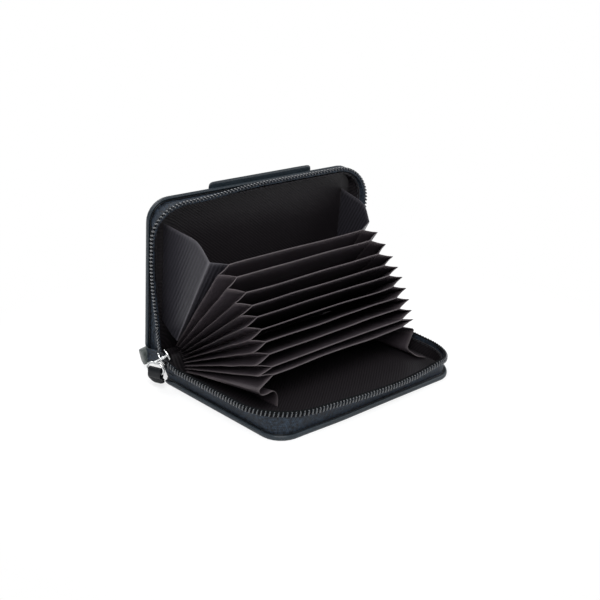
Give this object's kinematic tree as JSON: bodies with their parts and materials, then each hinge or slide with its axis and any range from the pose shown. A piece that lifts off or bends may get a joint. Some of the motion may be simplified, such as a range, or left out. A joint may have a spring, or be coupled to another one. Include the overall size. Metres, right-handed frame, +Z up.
{
  "type": "zip-around accordion card holder",
  "caption": "Zip-around leather card holder standing open: two tray-shaped covers joined by a spine, with a fan of card pockets, a note and a coin compartment between them.",
  "frame": {"origin": "middle of the lower cover's underside, on the table", "axes": "+X along the spine away from the slider, +Y from the mouth to the spine, +Z up"},
  "size_m": [0.1211, 0.0939, 0.0812],
  "materials": {
    "black_leather": "pebbled, satin",
    "end_leather": "smooth, satin",
    "leatherette": "fine grain, matt",
    "lining_satin": "ribbed satin",
    "zip_tape": "woven tape",
    "zip_teeth": "moulded, glossy",
    "zip_metal": "polished nickel",
    "board": "uncoated"
  },
  "bodies": {
    "lower_tray": {"lower_cover": "black_leather", "lower_board": "board", "lower_lining": "lining_satin", "lower_piping": "black_leather", "lower_zip_tape": "zip_tape", "lower_teeth": "zip_teeth", "lower_top_stop": "zip_metal", "spine_leather": "black_leather", "spine_lining": "lining_satin", "accordion_back": "leatherette", "coin_gusset_left": "leatherette", "coin_gusset_right": "leatherette", "slider": "zip_metal", "slider_bridge": "zip_metal", "lower_tape_end": "zip_tape", "upper_tape_end": "zip_tape"},
    "upper_tray": {"upper_cover": "black_leather", "upper_board": "board", "upper_lining": "lining_satin", "upper_piping": "black_leather", "upper_zip_tape": "zip_tape", "upper_teeth": "zip_teeth", "upper_top_stop": "zip_metal", "back_flap": "black_leather", "zip_end_tab": "end_leather"},
    "leaf_01": {"leaf_01": "leatherette", "pocket_gusset_01_left": "leatherette", "pocket_gusset_01_right": "leatherette"},
    "leaf_02": {"leaf_02": "leatherette", "pocket_gusset_02_left": "leatherette", "pocket_gusset_02_right": "leatherette"},
    "leaf_03": {"leaf_03": "leatherette", "pocket_gusset_03_left": "leatherette", "pocket_gusset_03_right": "leatherette"},
    "leaf_04": {"leaf_04": "leatherette", "pocket_gusset_04_left": "leatherette", "pocket_gusset_04_right": "leatherette"},
    "leaf_05": {"leaf_05": "leatherette", "pocket_gusset_05_left": "leatherette", "pocket_gusset_05_right": "leatherette"},
    "leaf_06": {"leaf_06": "leatherette", "pocket_gusset_06_left": "leatherette", "pocket_gusset_06_right": "leatherette"},
    "leaf_07": {"leaf_07": "leatherette", "pocket_gusset_07_left": "leatherette", "pocket_gusset_07_right": "leatherette"},
    "leaf_08": {"leaf_08": "leatherette", "pocket_gusset_08_left": "leatherette", "pocket_gusset_08_right": "leatherette"},
    "leaf_09": {"leaf_09": "leatherette", "pocket_gusset_09_left": "leatherette", "pocket_gusset_09_right": "leatherette"},
    "leaf_10": {"leaf_10": "leatherette", "note_gusset_left": "leatherette", "note_gusset_right": "leatherette"},
    "pull_ring": {"pull_ring": "zip_metal"},
    "pull_tab": {"pull_tab": "black_leather"}
  },
  "joints": [
    {"name": "cover_fold", "type": "hinge", "parent": "lower_tray", "child": "upper_tray", "pos_m": [0, 0.0339, 0.0072], "axis": [-0.997, 0.0522, -0.0573], "range_deg": [-84.87, 0], "deforming": ["spine_leather", "spine_lining", "accordion_back", "upper_tape_end", "note_gusset_left", "note_gusset_right"]},
    {"name": "coin_fold", "type": "hinge", "parent": "lower_tray", "child": "leaf_01", "pos_m": [0, 0.0326, 0.00337], "axis": [-1, 0, 0], "range_deg": [-14.6, 0], "deforming": ["coin_gusset_left", "coin_gusset_right"]},
    {"name": "pocket_fold_01", "type": "hinge", "parent": "leaf_01", "child": "leaf_02", "pos_m": [0, 0.03306, 0.00514], "axis": [-1, 0, 0], "range_deg": [-2.2, 0], "deforming": ["pocket_gusset_01_left", "pocket_gusset_01_right"]},
    {"name": "pocket_fold_02", "type": "hinge", "parent": "leaf_02", "child": "leaf_03", "pos_m": [0, 0.03342, 0.00634], "axis": [-1, 0, 0], "range_deg": [-4.4, 0], "deforming": ["pocket_gusset_02_left", "pocket_gusset_02_right"]},
    {"name": "pocket_fold_03", "type": "hinge", "parent": "leaf_03", "child": "leaf_04", "pos_m": [0, 0.03387, 0.0075], "axis": [-1, 0, 0], "range_deg": [-4.3, 0], "deforming": ["pocket_gusset_03_left", "pocket_gusset_03_right"]},
    {"name": "pocket_fold_04", "type": "hinge", "parent": "leaf_04", "child": "leaf_05", "pos_m": [0, 0.03441, 0.00863], "axis": [-1, 0, 0], "range_deg": [-4.5, 0], "deforming": ["pocket_gusset_04_left", "pocket_gusset_04_right"]},
    {"name": "pocket_fold_05", "type": "hinge", "parent": "leaf_05", "child": "leaf_06", "pos_m": [0, 0.03504, 0.00971], "axis": [-1, 0, 0], "range_deg": [-4.5, 0], "deforming": ["pocket_gusset_05_left", "pocket_gusset_05_right"]},
    {"name": "pocket_fold_06", "type": "hinge", "parent": "leaf_06", "child": "leaf_07", "pos_m": [0, 0.03574, 0.01074], "axis": [-1, 0, 0], "range_deg": [-4.2, 0], "deforming": ["pocket_gusset_06_left", "pocket_gusset_06_right"]},
    {"name": "pocket_fold_07", "type": "hinge", "parent": "leaf_07", "child": "leaf_08", "pos_m": [0, 0.03653, 0.01172], "axis": [-1, 0, 0], "range_deg": [-5.2, 0], "deforming": ["pocket_gusset_07_left", "pocket_gusset_07_right"]},
    {"name": "pocket_fold_08", "type": "hinge", "parent": "leaf_08", "child": "leaf_09", "pos_m": [0, 0.03739, 0.01262], "axis": [-1, 0, 0], "range_deg": [-7, 0], "deforming": ["pocket_gusset_08_left", "pocket_gusset_08_right"]},
    {"name": "pocket_fold_09", "type": "hinge", "parent": "leaf_09", "child": "leaf_10", "pos_m": [0, 0.03836, 0.01341], "axis": [-1, 0, 0], "range_deg": [-5.9, 0], "deforming": ["pocket_gusset_09_left", "pocket_gusset_09_right"]},
    {"name": "ring_swing", "type": "hinge", "parent": "lower_tray", "child": "pull_ring", "pos_m": [-0.0597, 0.0338, 0.0116], "axis": [-0.342, 0.9397, 0], "range_deg": [0, 85]},
    {"name": "tab_swing", "type": "hinge", "parent": "pull_ring", "child": "pull_tab", "pos_m": [-0.0597, 0.0338, 0.0065], "axis": [-0.342, 0.9397, 0], "range_deg": [0, 75]}
  ],
  "couplings": [
    {"joint": "coin_fold", "follows": "cover_fold", "ratio": 0.17202},
    {"joint": "pocket_fold_01", "follows": "cover_fold", "ratio": 0.025921},
    {"joint": "pocket_fold_02", "follows": "cover_fold", "ratio": 0.051843},
    {"joint": "pocket_fold_03", "follows": "cover_fold", "ratio": 0.050664},
    {"joint": "pocket_fold_04", "follows": "cover_fold", "ratio": 0.053021},
    {"joint": "pocket_fold_05", "follows": "cover_fold", "ratio": 0.053021},
    {"joint": "pocket_fold_06", "follows": "cover_fold", "ratio": 0.049486},
    {"joint": "pocket_fold_07", "follows": "cover_fold", "ratio": 0.061269},
    {"joint": "pocket_fold_08", "follows": "cover_fold", "ratio": 0.082477},
    {"joint": "pocket_fold_09", "follows": "cover_fold", "ratio": 0.069516}
  ]
}
